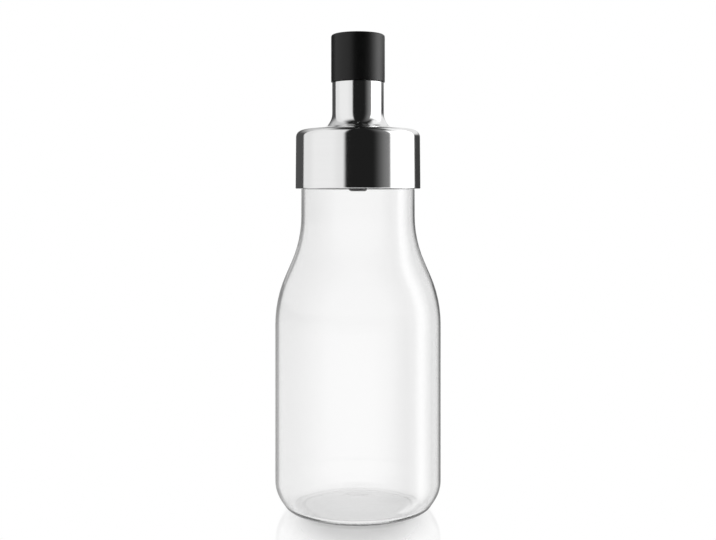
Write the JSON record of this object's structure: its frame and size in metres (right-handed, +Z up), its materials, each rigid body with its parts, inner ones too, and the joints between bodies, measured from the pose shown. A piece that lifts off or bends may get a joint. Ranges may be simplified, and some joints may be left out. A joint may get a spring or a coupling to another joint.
{
  "type": "salad dressing shaker bottle",
  "caption": "Clear glass shaker bottle with a screw-on steel lid and a black pull-up pour cap, for mixing and pouring dressing.",
  "frame": {"origin": "centre of the foot, on the surface that the bottle stands on", "axes": "+Z up along the bottle's axis, -Y towards the picture's camera"},
  "size_m": [0.066, 0.066, 0.189],
  "materials": {
    "clear_glass": "clear, fire-polished",
    "brushed_steel": "fine satin, brushed round the axis",
    "rod_steel": "drawn and polished",
    "lip_steel": "turned and polished",
    "inner_plastic": "black, moulded",
    "cap_plastic": "black, fine matt",
    "nut_plastic": "black, smooth",
    "seal_silicone": "black silicone, satin"
  },
  "bodies": {
    "bottle": {"glass_bottle": "clear_glass"},
    "gasket": {"lid_gasket": "seal_silicone"},
    "lid": {"lid_shell": "brushed_steel", "thread_liner": "inner_plastic", "tube_gasket": "seal_silicone", "pour_tube": "inner_plastic", "neck_seal": "seal_silicone", "cap_seal": "seal_silicone", "stop_ring": "inner_plastic", "strainer": "inner_plastic", "stem_rod": "rod_steel", "stem_plug": "seal_silicone", "stem_nut": "nut_plastic"},
    "cap": {"pull_cap": "cap_plastic", "pour_lip": "lip_steel"}
  },
  "joints": [
    {"name": "lid_rise", "type": "slide", "parent": "bottle", "child": "gasket", "axis": [0, 0, 1], "range_m": [0, 0.024]},
    {"name": "lid_turn", "type": "hinge", "parent": "gasket", "child": "lid", "pos_m": [0, 0, 0.1466], "axis": [0, 0, 1], "range_deg": [0, 720]},
    {"name": "cap_pull", "type": "slide", "parent": "lid", "child": "cap", "axis": [0, 0, 1], "range_m": [0, 0.006]}
  ],
  "couplings": [
    {"joint": "lid_rise", "follows": "lid_turn", "m_per_rad": 0.0019099}
  ]
}
